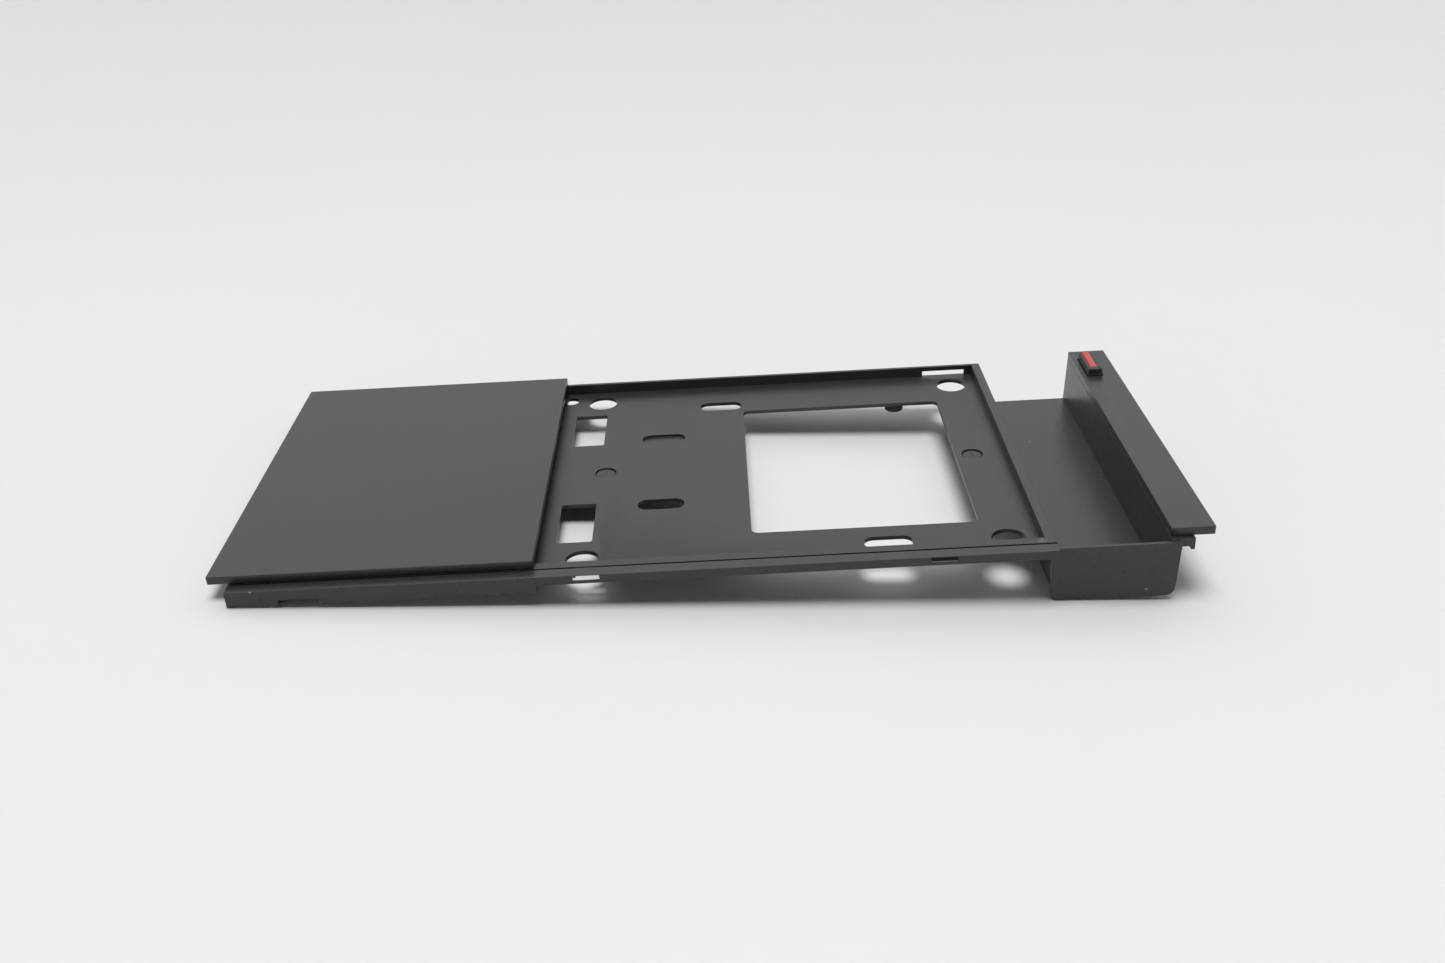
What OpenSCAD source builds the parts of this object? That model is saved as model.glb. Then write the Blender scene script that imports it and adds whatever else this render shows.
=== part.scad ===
// Flat desk carrier for a small computer, with a sliding cover plate at one end
// and a cable trough with a push-button latch at the other.
// +X runs along the holder from the cover to the trough, +Y runs from the near side
// to the far side, and z = 0 is the underside of the trough.

/* [Length, along X] */
// Length of the cover plate
cover_len = 141; // [110:1:180]
// Length of the bay between the cover plate and the cross bar
bay_open_len = 221; // [180:1:300]
// Width of the cross bar between the bay and the trough
bar_w = 4.2; // [3.4:0.1:8]
// Clear width of the cable trough at its top
trough_w = 48.8; // [36:0.1:80]
// Width of the cap strip at the right end
cap_w = 19; // [18:0.5:30]
// How far the cover plate overhangs the base
cover_overhang = 9; // [3:0.5:14]
// How far the cap strip overhangs the end skirt
cap_overhang = 9; // [5:0.5:9]

/* [Depth, along Y] */
// Width of the ledge along the near side
ledge_w = 6; // [5:0.1:12]
// Width of the parting groove between the ledge and the tray
groove_w = 1; // [0.4:0.1:2]
// Width of the near rim of the tray
near_rim_w = 4.5; // [4:0.1:8]
// Clear depth of the bay, from the near rim to the far wall
bay_depth = 182.7; // [150:0.1:240]
// Thickness of the far wall
far_wall_t = 1.8; // [1.4:0.1:2.6]

/* [Heights] */
// Height of the rim and ledge above the underside of the trough
rim_h = 26.5; // [22:0.1:40]
// Depth of the bay below the rim
bay_drop = 5.5; // [4.5:0.1:6.6]
// Thickness of the tray floor
tray_floor_t = 2; // [1.6:0.1:2.4]
// Height of the cover plate and cap strip above the rim
plate_h = 4; // [3.4:0.1:6]
// Height of the skirt beside the bay
skirt_h = 4.2; // [4:0.1:5]
// Height of the base at its deep left end
deep_skirt_h = 7.6; // [7.5:0.1:9]
// Height of the skirt at the right end
end_skirt_h = 5.5; // [4:0.1:6]

/* [Walls] */
// Thickness of the ledge plate
ledge_t = 1.8; // [1.2:0.1:2]
// Thickness of the skirts
skirt_t = 1.6; // [1.2:0.1:2]
// Floor thickness of the base box
base_floor_t = 1.5; // [1.2:0.1:1.6]
// Wall thickness of the trough
trough_wall_t = 2.2; // [1.8:0.1:3]
// Floor thickness of the trough
trough_floor_t = 2.7; // [1.8:0.1:4]
// Lean of each trough wall, in degrees
trough_draft = 2.5; // [0:0.1:4]
// Radius of the trough's outer bottom corners
trough_corner_r = 3.8; // [3:0.1:6]
// Depth of the parting groove
groove_depth = 1.4; // [0.8:0.1:1.6]

/* [Bay floor openings] */
// Diameter of the four corner holes
hole_d = 15.3; // [8:0.1:18]
// Distance of the corner holes from the cross bar
hole_from_bar = 13.2; // [10:0.1:20]
// Distance of the corner holes from the cover plate's edge
hole_from_cover = 19.6; // [16:0.1:30]
// Distance of the corner holes from the tray's near and far edges
hole_from_edge = 14.5; // [14:0.1:20]
// Diameter of the small hole at the cover plate's edge
small_hole_d = 8.7; // [4:0.1:10]
// Distance of the window from the cover plate's edge
window_from_cover = 95; // [88:1:120]
// Distance of the window from the cross bar
window_from_bar = 23.7; // [23:0.1:40]
// Distance of the window from the tray's near edge
window_from_near = 30; // [27:0.5:50]
// Distance of the window from the tray's far edge
window_from_far = 33; // [31:0.5:50]
// Corner radius of the window
window_r = 3; // [1:0.5:8]
// Length of the two square windows, along X
square_len = 16.2; // [8:0.1:20]
// Depth of the two square windows, along Y
square_depth = 34.5; // [20:0.1:36]
// Distance of the square windows from the cover plate's edge
square_from_cover = 6.6; // [4:0.1:8]
// Distance of the square windows from the tray's edges
square_from_edge = 29.75; // [25:0.25:32]
// Width of the four slots
slot_w = 9.5; // [6:0.1:10]
// Length of the four slots
slot_len = 22; // [14:0.5:24]
// Distance between the two middle slots
slot_spacing = 67.4; // [50:0.1:80]
// Distance of the middle slots' centres from the cover plate's edge
slot_from_cover = 53.4; // [46:0.1:60]
// Depth of the far middle slot, which is closed below
blind_slot_depth = 1.3; // [0.8:0.1:1.4]
// Diameter of the screw recesses in the bay floor
recess_d = 10.4; // [9:0.1:12]
// Depth of the screw recesses
recess_depth = 1.1; // [0.8:0.1:1.2]

/* [Button and latch] */
// Width of the button, along X
button_w = 7.6; // [7:0.1:9]
// Length of the button, along Y
button_len = 22.5; // [21:0.5:28]
// Height of the button above the cap strip
button_proud = 3.8; // [3:0.1:5]
// Distance of the button from the holder's far side
button_from_far = 9.7; // [9:0.1:20]
// Travel of the button when pressed
button_travel = 2.4; // [1.8:0.1:2.4]
// Travel of the bolt when the button is pressed
bolt_travel = 1.8; // [1.2:0.1:1.8]
// Thickness of the bolt
bolt_t = 3.2; // [2.4:0.1:3.6]
// Diameter of the drive pin
pin_d = 1.8; // [1.4:0.1:2]
// Width of the coloured stripe on the button
stripe_w = 3.1; // [2:0.1:4]

/* [Bumpers and screws] */
// Diameter of the rubber bumpers
bumper_d = 9.6; // [6:0.1:12]
// Height of the rubber bumpers
bumper_h = 3.7; // [2:0.1:5]
// Thread diameter of the hidden screws
screw_d = 2.5; // [2:0.1:3]
// Thread diameter of the bay floor screws
floor_screw_d = 3; // [2.5:0.1:4]

/* [Fits] */
// Gap under and around the sliding cover
slide_gap = 0.3; // [0.2:0.05:0.4]
// Gap around the button and the bolt
button_gap = 0.3; // [0.2:0.05:0.4]
// Running clearance of the drive pin in the bolt's slot
pin_clear = 0.08; // [0.05:0.01:0.1]

/* [Hidden] */
$fn = 64;
eps = 0.01;
far = 1000;

// Places along X
total_len = cover_len + bay_open_len + bar_w + trough_w + cap_w;
x_cover_l = -total_len / 2;
x_cover_r = x_cover_l + cover_len;
x_bar_l = x_cover_r + bay_open_len;
x_bar_r = x_bar_l + bar_w;
x_cap_l = x_bar_r + trough_w;
x_cap_r = x_cap_l + cap_w;
x_base_l = x_cover_l + cover_overhang;
x_skirt_r = x_cap_r - cap_overhang;
deep_past_cover = 1.5;
x_deep_r = x_cover_r + deep_past_cover;
tray_under_cover = 8;
x_tray_l = x_cover_r - tray_under_cover;
x_box_r = x_tray_l - slide_gap;

// Places along Y
total_w = ledge_w + groove_w + near_rim_w + bay_depth + far_wall_t;
y_near = -total_w / 2;
y_ledge_in = y_near + ledge_w;
y_tray_n = y_ledge_in + groove_w;
y_bay_n = y_tray_n + near_rim_w;
y_bay_f = y_bay_n + bay_depth;
y_far = total_w / 2;
y_mid = (y_tray_n + y_far) / 2;

// Heights
z_rim = rim_h;
z_floor = z_rim - bay_drop;
z_under = z_floor - tray_floor_t;
z_plate = z_rim + plate_h;
z_ledge_under = z_rim - ledge_t;
z_groove = z_rim - groove_depth;
z_base = z_rim - deep_skirt_h;
z_base_floor = z_base + base_floor_t;

// Near rail of the base
rib_t = 2.2;
rib_h = 2.5;
window_skin = 0.4;
window_strip = 1.75;
snap_len = 11.5;
left_snap_from_cover = 17.3;
right_snap_from_bar = 50.6;
x_snap_l = x_cover_r + left_snap_from_cover;
x_snap_r = x_bar_l - right_snap_from_bar;
z_sill = z_rim - skirt_h + window_strip;
z_snap_top = z_rim - window_skin;
sill_drop = 0.9;
tab_clear = 0.15;
notch_from_end = 22.5;
notch_len = 17.5;
notch_h = 2.8;
notch_depth = 3;

// Slide guides of the cover
lip_w = 4;
far_lip_w = 6;
lip_t = 2.4;
runner_len = 48;
runner_web_t = 1.8;
runner_foot_w = 4.7;
runner_foot_h = 2.3;
runner_flange_w = 10;
runner_flange_t = 2;
x_runner_r = x_box_r - slide_gap;
x_runner_l = x_runner_r - runner_len;
z_cover_under = z_rim + slide_gap;
z_lip_under = z_rim - lip_t;
z_runner_top = z_lip_under - slide_gap;

// Straps and flanges under the tray
strap_t = 2.2;
z_strap = z_under - strap_t;
strap_left_of_tray = 8;
x_strap_l = x_tray_l - strap_left_of_tray;
strap_under_cover = 0.5;
x_strap_r = x_cover_r - strap_under_cover;
floor_screw_from_cover = 25.5;
floor_screw_from_bar = 15.5;
x_screw_l = x_cover_r + floor_screw_from_cover;
x_screw_r = x_bar_l - floor_screw_from_bar;
tongue_half = 9.5;
screw_boss_d = 7.5;
screw_boss_h = 2.5;
flange_in = 9;
flange_from_near = 27;
flange_from_far = 27;
y_flange_n = y_tray_n + flange_from_near;
y_flange_f = y_far - flange_from_far;
x_flange_l = x_bar_l - flange_in;
trough_screw_from_end = 8;
trough_screw_depth = 1.4;
x_trough_screw = x_bar_l - flange_in / 2 + 0.5;

// Walls of the tray
tray_wall_t = 1.6;
bar_wall_t = 1.7;
rim_leg_t = 1.4;
low_window_from_bar = 4;
low_window_len = 22.8;
low_window_h = 3.1;

// Openings of the bay floor that stand alone
small_hole_from_far = 10;
square_r = 1;
far_slot_from_cover = 83.2;
far_slot_from_far = 25.8;
near_slot_from_bar = 66;
near_slot_from_near = 16.5;

// Channel under the cap strip
panel_t = 1.5;
panel_wing = 1.4;
y_panel = y_near + skirt_t;
x_wall_r = x_cap_l + trough_wall_t;
end_ledge_t = 1.6;
z_end_ledge = z_rim - end_ledge_t;
x_skirt_in = x_skirt_r - skirt_t;
lug_setback = 4.5;
lug_h = 3.9;
y_lug = y_near + lug_setback;
x_channel = (x_wall_r + x_skirt_in) / 2;

// Button and latch
y_button_f = y_far - button_from_far;
y_button = y_button_f - button_len / 2;
button_from_edge = 3;
x_button_l = x_cap_l + button_from_edge;
z_button_top = z_plate + button_proud;
z_button_under = z_rim + button_travel + button_gap;
bolt_tail = 1.2;
x_pin = x_wall_r + button_gap + bolt_travel + pin_d / 2 + bolt_tail;
pin_below_rim = 9;
z_pin = z_rim - pin_below_rim;
leg_w = 2.8;
leg_t = 2.6;
leg_below_pin = 1.6;
leg_in = bolt_t / 2 + button_gap;
leg_out = leg_in + leg_t;
x_bolt_tail = x_wall_r + button_gap + bolt_travel;
x_bolt_nose = x_skirt_r + bolt_travel;
bolt_wall = 1.25;
slot_r = pin_d / 2 + pin_clear;
z_bolt_top = z_pin + slot_r + bolt_wall;
z_bolt_bottom = z_pin - button_travel - slot_r - bolt_wall;
housing_half = 13.5;
housing_t = 1.5;
bolt_pad_h = 1.2;
z_housing = z_bolt_bottom - button_gap - housing_t - bolt_pad_h;
z_housing_floor = z_housing + housing_t;
spring_offset = 8;
spring_d = 3.2;
spring_wire = 0.45;
spring_turns = 9;
spring_hole_d = 4;
ear_len = 5.5;
ear_t = 1.5;
stripe_len = 19;
stripe_t = 0.6;
stripe_end_gap = 0.4;
stripe_off_centre = 0.25;
button_flare = 0.25;

// Screws
head_d = 4.4;
head_h = 1.5;
floor_head_d = 9.4;
floor_head_h = 0.8;
cap_screw_len = end_ledge_t + 2.8;
housing_screw_len = ear_t + end_ledge_t + 2.4;
runner_screw_from_end = 8;
runner_screw_from_lip = 6.5;
plate_skin = 1.2;

black = [0.17, 0.17, 0.18];
dark = [0.24, 0.24, 0.25];
steel = [0.62, 0.62, 0.64];

// A block between two corners
module block(a, b) {
    translate(a)
        cube(b - a);
}

// A profile drawn in (Y, Z) and run along X from x0 to x1
module along_x(x0, x1) {
    translate([x0, 0, 0])
        rotate([90, 0, 90])
            linear_extrude(x1 - x0)
                children();
}

// A profile drawn in (X, Z) and run along Y from y0 to y1
module along_y(y0, y1) {
    translate([0, y1, 0])
        rotate([90, 0, 0])
            linear_extrude(y1 - y0)
                children();
}

// A rectangle with round corners, between two corners of the plane
module round_rect(a, b, r) {
    translate([a.x + r, a.y])
        square([b.x - a.x - 2 * r, b.y - a.y]);
    translate([a.x, a.y + r])
        square([b.x - a.x, b.y - a.y - 2 * r]);
    for (x = [a.x + r, b.x - r], y = [a.y + r, b.y - r])
        translate([x, y])
            circle(r = r);
}

// A slot with round ends, centred on the origin and running along X
module slot(len, w) {
    square([len - w, w], center = true);
    for (s = [-1, 1])
        translate([s * (len - w) / 2, 0])
            circle(d = w);
}

// A cut right through the height of the part, in the shape of its children
module through() {
    translate([0, 0, -far / 2])
        linear_extrude(far)
            children();
}

// A pan-head screw standing on its head, with its seat at z = 0 and a cross recess
module screw(d, len, head_d, head_t) {
    difference() {
        union() {
            translate([0, 0, -head_t / 2])
                cylinder(d = d, h = len + head_t / 2);
            translate([0, 0, -head_t])
                cylinder(d = head_d, h = head_t);
        }
        for (turn = [0, 90])
            translate([0, 0, -head_t])
                rotate(turn)
                    cube([head_d * 0.55, head_d * 0.12, head_t], center = true);
    }
}

// A helical spring of round wire, from z0 to z1, as one swept tube with closed ends
module coil_spring(d, wire, turns, z0, z1) {
    sides = 6;
    steps = turns * 12;
    r = (d - wire) / 2;
    h = z1 - z0 - wire;
    rings = [for (i = [0 : steps])
        let (a = 360 * turns * i / steps, z = z0 + wire / 2 + h * i / steps)
        [for (j = [0 : sides - 1])
            let (b = 360 * j / sides, q = r + wire / 2 * cos(b))
            [q * cos(a), q * sin(a), z + wire / 2 * sin(b)]]];
    points = [for (ring = rings) each ring];
    walls = [for (i = [0 : steps - 1], j = [0 : sides - 1])
        let (k = (j + 1) % sides)
        [i * sides + j, (i + 1) * sides + j, (i + 1) * sides + k, i * sides + k]];
    first = [for (j = [0 : sides - 1]) j];
    last = [for (j = [sides - 1 : -1 : 0]) steps * sides + j];
    polyhedron(points, concat(walls, [first], [last]));
}

// The near rail in section: skirt, ledge, groove floor and the rib that the tray meets
module near_rail_section(depth) {
    polygon([
        [y_near, z_rim - depth],
        [y_near, z_rim],
        [y_ledge_in, z_rim],
        [y_ledge_in, z_groove],
        [y_tray_n, z_groove],
        [y_tray_n, z_groove - rib_h],
        [y_tray_n - rib_t, z_groove - rib_h],
        [y_tray_n - rib_t, z_ledge_under],
        [y_near + skirt_t, z_ledge_under],
        [y_near + skirt_t, z_rim - depth]]);
}

// One window in the near skirt, with a sill that falls towards the inside
module snap_window(x) {
    slope = sill_drop / skirt_t;
    along_x(x, x + snap_len)
        polygon([
            [y_near - 1, z_snap_top],
            [y_tray_n + eps, z_snap_top],
            [y_tray_n + eps, z_groove - rib_h - 1],
            [y_near + skirt_t, z_groove - rib_h - 1],
            [y_near + skirt_t, z_sill - sill_drop],
            [y_near - 1, z_sill + slope]]);
}

module base_frame() {
    color(black)
        difference() {
            union() {
                along_x(x_base_l, x_bar_r)
                    near_rail_section(skirt_h);
                // Box under the cover: walls, floor and the lips that hold the runners
                block([x_base_l, y_near, z_base], [x_deep_r, y_near + skirt_t, z_rim]);
                block([x_base_l, y_near, z_base], [x_base_l + skirt_t, y_far, z_rim]);
                block([x_base_l, y_near, z_base], [x_box_r, y_far, z_base_floor]);
                block([x_base_l, y_far - far_wall_t, z_base], [x_box_r, y_far, z_rim]);
                block([x_base_l, y_tray_n - rib_t, z_base], [x_box_r, y_tray_n, z_groove]);
                block([x_base_l, y_tray_n - eps, z_lip_under], [x_box_r, y_tray_n + lip_w, z_rim]);
                block([x_base_l, y_far - far_lip_w, z_lip_under], [x_box_r, y_far, z_rim]);
                // Strap that carries the left end of the tray, with a tongue for its screw
                block([x_strap_l, y_tray_n, z_strap], [x_strap_r, y_far - far_wall_t, z_under]);
                block([x_strap_l, y_mid - tongue_half, z_strap],
                      [x_screw_l + screw_boss_d, y_mid + tongue_half, z_under]);
                block([x_strap_l, y_tray_n, z_strap], [x_box_r, y_far - far_wall_t, z_base_floor]);
                translate([x_screw_l, y_mid, z_strap - screw_boss_h])
                    cylinder(d = screw_boss_d, h = screw_boss_h + eps);
            }
            snap_window(x_snap_l);
            snap_window(x_snap_r);
            // Shallow notch in the lower edge of the deep skirt
            block([x_base_l + notch_from_end, y_near - 1, z_base - 1],
                  [x_base_l + notch_from_end + notch_len, y_near + notch_depth, z_base + notch_h]);
            translate([x_screw_l, y_mid, 0])
                cylinder(d = floor_screw_d, h = far);
            // Room for the trough's left wall and near panel under the end of the ledge
            block([x_bar_r - trough_wall_t - slide_gap, y_panel, 0],
                  [x_bar_r + 1, y_tray_n + 1, z_ledge_under]);
            block([x_bar_r - trough_wall_t - panel_wing - slide_gap, y_panel, 0],
                  [x_bar_r + 1, y_panel + panel_t + slide_gap, z_ledge_under]);
        }
}

// Outline of the trough in (X, Z): grow = 0 is the inside, a bigger value the outside
module trough_outline(grow, z0, z1, r) {
    lean = tan(trough_draft);
    l = x_bar_r - grow;
    t = x_cap_l + grow;
    lz = l + (z_rim - z0) * lean;
    tz = t - (z_rim - z0) * lean;
    l1 = l + (z_rim - z1) * lean;
    t1 = t - (z_rim - z1) * lean;
    polygon([[l1, z1], [lz - r * lean, z0 + r], [lz + r, z0], [tz - r, z0],
        [tz + r * lean, z0 + r], [t1, z1]]);
    if (r > 0)
        intersection() {
            for (x = [lz + r - r * lean / 2, tz - r + r * lean / 2])
                translate([x, z0 + r])
                    circle(r = r);
            translate([l - r, z0])
                square([t - l + 2 * r, r]);
        }
}

module cable_trough() {
    color(black)
        difference() {
            union() {
                along_y(y_panel, y_far)
                    trough_outline(trough_wall_t, 0, z_rim, trough_corner_r);
                along_y(y_panel, y_panel + panel_t)
                    trough_outline(trough_wall_t + panel_wing, 0, z_rim, trough_corner_r);
                // Ledge and skirt that carry the cap strip
                block([x_cap_l, y_lug, z_end_ledge], [x_skirt_r, y_far, z_rim]);
                block([x_skirt_in, y_lug, z_rim - end_skirt_h], [x_skirt_r, y_far, z_rim]);
                block([x_cap_l, y_lug, z_rim - lug_h], [x_skirt_in + eps, y_lug + skirt_t, z_rim]);
                // Flange under the tray, with a tongue for the tray's right screw
                block([x_flange_l, y_flange_n, z_strap], [x_bar_r, y_flange_f, z_under]);
                block([x_screw_r - screw_boss_d, y_mid - tongue_half, z_strap],
                      [x_bar_r, y_mid + tongue_half, z_under]);
                translate([x_screw_r, y_mid, z_strap - screw_boss_h])
                    cylinder(d = screw_boss_d, h = screw_boss_h + eps);
            }
            // Inside of the channel, open at the top and the far end
            along_y(y_panel + panel_t, y_far + 1)
                trough_outline(0, trough_floor_t, z_rim + 1, 0);
            // Seat of the cross bar and the ledge on top of the left wall
            block([x_bar_l - bar_w, y_near - 1, z_ledge_under], [x_bar_r, y_far + 1, z_rim + 1]);
            translate([x_screw_r, y_mid, 0])
                cylinder(d = floor_screw_d, h = far);
            trough_screw_places()
                cylinder(d = screw_d, h = far);
            cap_screw_places()
                cylinder(d = screw_d, h = far);
            housing_screw_places()
                cylinder(d = screw_d, h = far);
            // Slots for the button's stem and springs
            block([x_pin - leg_w / 2 - button_gap, y_button - leg_out - button_gap, 0],
                  [x_pin + leg_w / 2 + button_gap, y_button + leg_out + button_gap, far]);
            spring_places()
                cylinder(d = spring_hole_d, h = far);
        }
}

// Openings right through the bay floor, as flat shapes
module floor_openings() {
    x_holes = [x_cover_r + hole_from_cover, x_bar_l - hole_from_bar];
    y_holes = [y_tray_n + hole_from_edge, y_far - hole_from_edge];
    for (x = x_holes, y = y_holes)
        translate([x, y])
            circle(d = hole_d);
    translate([x_cover_r + small_hole_d / 4, y_far - small_hole_from_far])
        circle(d = small_hole_d);
    round_rect([x_cover_r + window_from_cover, y_tray_n + window_from_near],
               [x_bar_l - window_from_bar, y_far - window_from_far], window_r);
    x_square = x_cover_r + square_from_cover;
    for (y = [y_tray_n + square_from_edge, y_far - square_from_edge - square_depth])
        round_rect([x_square, y], [x_square + square_len, y + square_depth], square_r);
    middle_slot(-1);
    translate([x_cover_r + far_slot_from_cover, y_far - far_slot_from_far])
        slot(slot_len, slot_w);
    translate([x_bar_l - near_slot_from_bar, y_tray_n + near_slot_from_near])
        slot(slot_len, slot_w);
}

// One of the two middle slots, as a flat shape: side is -1 near, 1 far
module middle_slot(side) {
    translate([x_cover_r + slot_from_cover, y_mid + side * slot_spacing / 2])
        slot(slot_len, slot_w);
}

module tray() {
    x_wall_end = x_bar_l + bar_wall_t;
    color(dark)
        difference() {
            union() {
                block([x_tray_l, y_bay_n - tray_wall_t, z_under], [x_wall_end, y_far, z_floor]);
                // Near rim, a folded-over edge with an outer leg
                block([x_tray_l, y_bay_n - tray_wall_t, z_under], [x_wall_end, y_bay_n, z_rim]);
                block([x_tray_l, y_tray_n, z_ledge_under], [x_bar_r, y_bay_n, z_rim]);
                block([x_tray_l, y_tray_n, z_groove - rib_h],
                      [x_bar_l, y_tray_n + rim_leg_t, z_rim]);
                // Far wall, cross bar and the bay's right wall
                block([x_tray_l, y_bay_f, z_under], [x_wall_end, y_far, z_rim]);
                block([x_bar_l, y_tray_n, z_ledge_under], [x_bar_r, y_far, z_rim]);
                block([x_bar_l, y_bay_n - tray_wall_t, z_under], [x_wall_end, y_far, z_rim]);
                snap_tab();
            }
            through()
                floor_openings();
            translate([0, 0, z_floor - blind_slot_depth])
                linear_extrude(far)
                    middle_slot(1);
            for (x = [x_screw_l, x_screw_r]) {
                translate([x, y_mid, z_floor - recess_depth])
                    cylinder(d = recess_d, h = far);
                translate([x, y_mid, 0])
                    cylinder(d = floor_screw_d, h = far);
            }
            // Low window at the foot of the far wall
            block([x_bar_l - low_window_from_bar - low_window_len, y_bay_f - eps, z_floor],
                  [x_bar_l - low_window_from_bar, y_far + 1, z_floor + low_window_h]);
            // Opening in the corner of the near rim, behind the base's left snap window
            block([x_snap_l, y_bay_n - tray_wall_t - eps, z_under - 1],
                  [x_snap_l + snap_len, y_bay_n + tray_wall_t, z_floor]);
            trough_screw_places()
                cylinder(d = screw_d, h = z_under + trough_screw_depth);
        }
}

// The tab that fills the near skirt's right snap window, with a sloping face
module snap_tab() {
    y_face = y_near + 0.1;
    y_back = y_ledge_in - tab_clear;
    z_top = z_snap_top - tab_clear;
    z_low = z_sill - sill_drop + tab_clear;
    along_x(x_snap_r + tab_clear, x_snap_r + snap_len - tab_clear)
        polygon([
            [y_tray_n + eps, z_low],
            [y_near + skirt_t, z_low],
            [y_face, z_sill + tab_clear],
            [y_face + 1.4, z_top],
            [y_back, z_top],
            [y_back, z_groove - tab_clear],
            [y_tray_n + eps, z_groove - tab_clear]]);
}

// Holes and places shared by more than one piece
module trough_screw_places() {
    for (y = [y_flange_n + trough_screw_from_end, y_mid, y_flange_f - trough_screw_from_end])
        translate([x_trough_screw, y, 0])
            children();
}

module cap_screw_places() {
    for (y = [y_lug + 12, y_mid - bay_depth / 4, y_mid + 10])
        translate([x_channel, y, 0])
            children();
}

module housing_screw_places() {
    for (s = [-1, 1])
        translate([x_channel, y_button + s * (housing_half + ear_len / 2), 0])
            children();
}

module spring_places() {
    for (s = [-1, 1])
        translate([x_pin, y_button + s * spring_offset, 0])
            children();
}

module runner_screw_places(near_side) {
    y0 = near_side
        ? y_tray_n + lip_w + slide_gap + runner_screw_from_lip
        : y_far - far_lip_w - slide_gap - runner_screw_from_lip;
    for (x = [x_runner_l + runner_screw_from_end, x_runner_r - runner_screw_from_end])
        translate([x, y0, 0])
            children();
}

module cover_plate() {
    color(black)
        difference() {
            block([x_cover_l, y_tray_n, z_cover_under], [x_cover_r, y_far, z_plate]);
            for (side = [true, false])
                runner_screw_places(side)
                    cylinder(d = screw_d, h = z_plate - plate_skin);
        }
}

// One runner in (Y, Z): flange under the plate, web, and a foot that reaches under the lip
module runner_section(y_edge, s) {
    polygon([
        [y_edge, z_cover_under],
        [y_edge + s * runner_flange_w, z_cover_under],
        [y_edge + s * runner_flange_w, z_cover_under - runner_flange_t],
        [y_edge + s * runner_web_t, z_cover_under - runner_flange_t],
        [y_edge + s * runner_web_t, z_runner_top - runner_foot_h],
        [y_edge + s * (runner_web_t - runner_foot_w), z_runner_top - runner_foot_h],
        [y_edge + s * (runner_web_t - runner_foot_w), z_runner_top],
        [y_edge, z_runner_top]]);
}

module cover_runners() {
    color(dark)
        for (side = [true, false])
            difference() {
                along_x(x_runner_l, x_runner_r)
                    runner_section(side ? y_tray_n + lip_w + slide_gap : y_far - far_lip_w - slide_gap,
                                   side ? 1 : -1);
                runner_screw_places(side)
                    cylinder(d = screw_d, h = far);
            }
}

module runner_screws() {
    color(steel)
        for (side = [true, false])
            runner_screw_places(side)
                translate([0, 0, z_cover_under - runner_flange_t])
                    screw(screw_d, runner_flange_t + z_plate - plate_skin - z_cover_under,
                          head_d, head_h);
}

module rail_cap() {
    color(black)
        difference() {
            block([x_cap_l, y_tray_n, z_rim], [x_cap_r, y_far, z_plate]);
            block([x_button_l - button_gap, y_button_f - button_len - button_gap, z_rim - 1],
                  [x_button_l + button_w + button_gap, y_button_f + button_gap, z_plate + 1]);
            cap_screw_places()
                cylinder(d = screw_d, h = z_end_ledge + cap_screw_len);
            housing_screw_places()
                cylinder(d = screw_d, h = z_end_ledge - ear_t + housing_screw_len);
        }
}

module cap_screws() {
    color(steel)
        cap_screw_places()
            translate([0, 0, z_end_ledge])
                screw(screw_d, cap_screw_len, head_d, head_h);
}

module release_button() {
    color(black)
        difference() {
            union() {
                block([x_button_l, y_button_f - button_len, z_button_under],
                      [x_button_l + button_w, y_button_f, z_plate + button_flare]);
                block([x_button_l + button_flare, y_button_f - button_len + button_flare, z_button_under],
                      [x_button_l + button_w - button_flare, y_button_f - button_flare, z_button_top]);
                for (s = [-1, 1])
                    translate([x_pin - leg_w / 2, y_button + s * (leg_in + leg_t / 2) - leg_t / 2,
                        z_pin - leg_below_pin])
                        cube([leg_w, leg_t, z_button_under - z_pin + leg_below_pin + eps]);
            }
            translate([x_pin, y_button - far / 2, z_pin])
                rotate([-90, 0, 0])
                    cylinder(d = pin_d, h = far);
            stripe_block();
        }
}

// The inlay on the button, from just short of the button's far end
module stripe_block() {
    x0 = x_button_l + (button_w - stripe_w) / 2 - stripe_off_centre;
    y1 = y_button_f - stripe_end_gap;
    block([x0, y1 - stripe_len, z_button_top - stripe_t], [x0 + stripe_w, y1, z_button_top]);
}

module button_stripe() {
    color("red")
        stripe_block();
}

module drive_pin() {
    color(steel)
        translate([x_pin, y_button - leg_out, z_pin])
            rotate([-90, 0, 0])
                cylinder(d = pin_d, h = 2 * leg_out);
}

module button_springs() {
    color(steel)
        spring_places()
            coil_spring(spring_d, spring_wire, spring_turns, z_housing_floor, z_button_under);
}

// Flat bolt with a slanted slot: the pin moves down in it and draws the bolt in
module latch_bolt() {
    nose_h = 3.4;
    color(steel)
        difference() {
            along_y(y_button - bolt_t / 2, y_button + bolt_t / 2)
                polygon([
                    [x_bolt_tail, z_bolt_bottom],
                    [x_skirt_r, z_bolt_bottom],
                    [x_bolt_nose, z_bolt_top - nose_h],
                    [x_bolt_nose, z_bolt_top],
                    [x_bolt_tail, z_bolt_top]]);
            along_y(y_button - bolt_t, y_button + bolt_t) {
                slant = atan2(button_travel, bolt_travel);
                for (t = [0, 1])
                    translate([x_pin + t * bolt_travel, z_pin - t * button_travel])
                        circle(r = slot_r);
                translate([x_pin, z_pin])
                    rotate(-slant)
                        translate([0, -slot_r])
                            square([norm([button_travel, bolt_travel]), 2 * slot_r]);
            }
        }
}

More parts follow.
